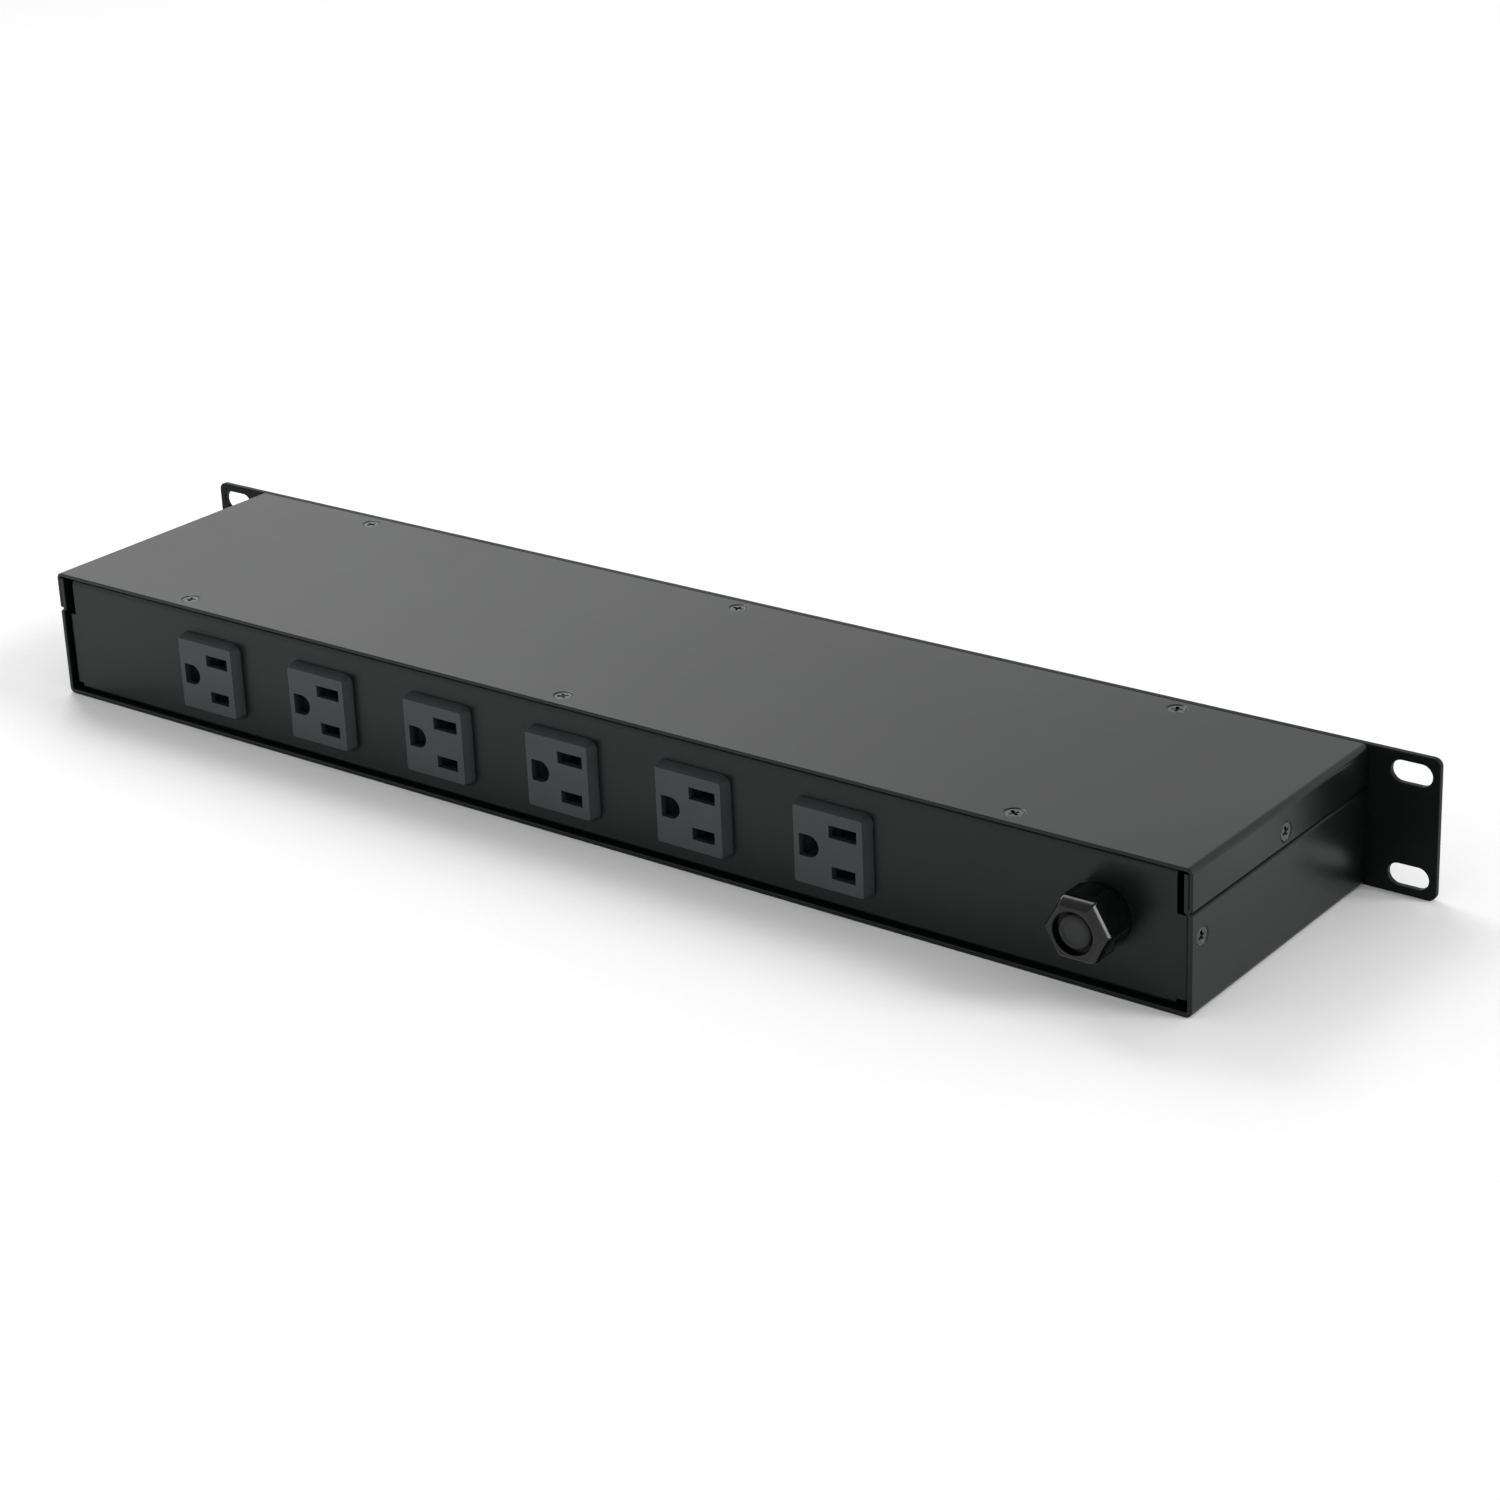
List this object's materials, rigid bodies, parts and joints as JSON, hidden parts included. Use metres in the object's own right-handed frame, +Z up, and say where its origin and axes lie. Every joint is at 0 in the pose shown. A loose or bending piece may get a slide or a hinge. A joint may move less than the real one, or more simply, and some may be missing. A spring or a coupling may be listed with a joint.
{
  "type": "rack power strip",
  "caption": "Flat black sheet-steel power strip for a 19-inch rack, with slotted ears, a row of sockets and a cable gland at the rear and a rocker switch and reset button in front.",
  "frame": {"origin": "middle of the rack ears' back face, half-way up the front panel, where the ears meet the rack rails", "axes": "+X across the rack along the panel's length, +Y from the front panel towards the rear outlets, +Z up"},
  "size_m": [0.4826, 0.1211, 0.0436],
  "materials": {
    "painted_steel": "satin black powder coat",
    "black_screws": "black oxide",
    "zinc_steel": "zinc plated",
    "brass": "bright",
    "outlet_plastic": "fine moulded texture",
    "back_plastic": "moulded",
    "black_wire": "PVC insulation",
    "white_wire": "PVC insulation",
    "green_wire": "PVC insulation",
    "block_plastic": "moulded",
    "switch_plastic": "polished moulding",
    "red_rocker": "translucent red",
    "lamp_glass": "clear",
    "breaker_plastic": "moulded",
    "button_plastic": "moulded",
    "gland_nylon": "polished nylon",
    "gland_rubber": "matt"
  },
  "bodies": {
    "chassis": {"tray": "painted_steel", "top_cover": "painted_steel", "rear_panel": "painted_steel", "front_panel": "painted_steel", "front_panel_studs": "brass", "front_panel_washers": "zinc_steel", "front_panel_nuts": "zinc_steel", "cover_top_screws": "black_screws", "cover_side_screws": "black_screws", "rear_panel_screws": "black_screws", "outlet_1_housing": "outlet_plastic", "outlet_2_housing": "outlet_plastic", "outlet_3_housing": "outlet_plastic", "outlet_4_housing": "outlet_plastic", "outlet_5_housing": "outlet_plastic", "outlet_6_housing": "outlet_plastic", "outlet_1_back": "back_plastic", "outlet_2_back": "back_plastic", "outlet_3_back": "back_plastic", "outlet_4_back": "back_plastic", "outlet_5_back": "back_plastic", "outlet_6_back": "back_plastic", "line_contacts": "brass", "neutral_contacts": "brass", "ground_contacts": "brass", "line_bus_wire": "black_wire", "neutral_bus_wire": "white_wire", "ground_bus_wire": "green_wire", "supply_line_lead": "black_wire", "supply_neutral_lead": "white_wire", "supply_ground_lead": "green_wire", "switch_lead": "black_wire", "terminal_block": "block_plastic", "terminal_clamp_screws": "zinc_steel", "terminal_mount_screws": "zinc_steel", "earth_stud": "brass", "earth_ring": "brass", "earth_washer": "zinc_steel", "earth_nut": "zinc_steel", "switch_housing": "switch_plastic", "switch_pivot_pin": "zinc_steel", "switch_terminals": "brass", "switch_lamp": "lamp_glass", "breaker_body": "breaker_plastic", "breaker_panel_nut": "zinc_steel", "breaker_terminals": "brass", "gland_gasket": "gland_rubber", "gland_body": "gland_nylon", "gland_lock_nut": "gland_nylon", "gland_seal": "gland_rubber", "gland_nut": "gland_nylon", "gland_plug": "gland_rubber"},
    "rocker": {"switch_rocker": "red_rocker"},
    "reset_button": {"breaker_button": "button_plastic"}
  },
  "joints": [
    {"name": "power_rocker", "type": "hinge", "parent": "chassis", "child": "rocker", "pos_m": [-0.168, 0.0015, 0], "axis": [1, 0, 0], "range_deg": [0, 24]},
    {"name": "breaker_reset", "type": "slide", "parent": "chassis", "child": "reset_button", "axis": [0, -1, 0], "range_m": [0, 0.003]}
  ]
}
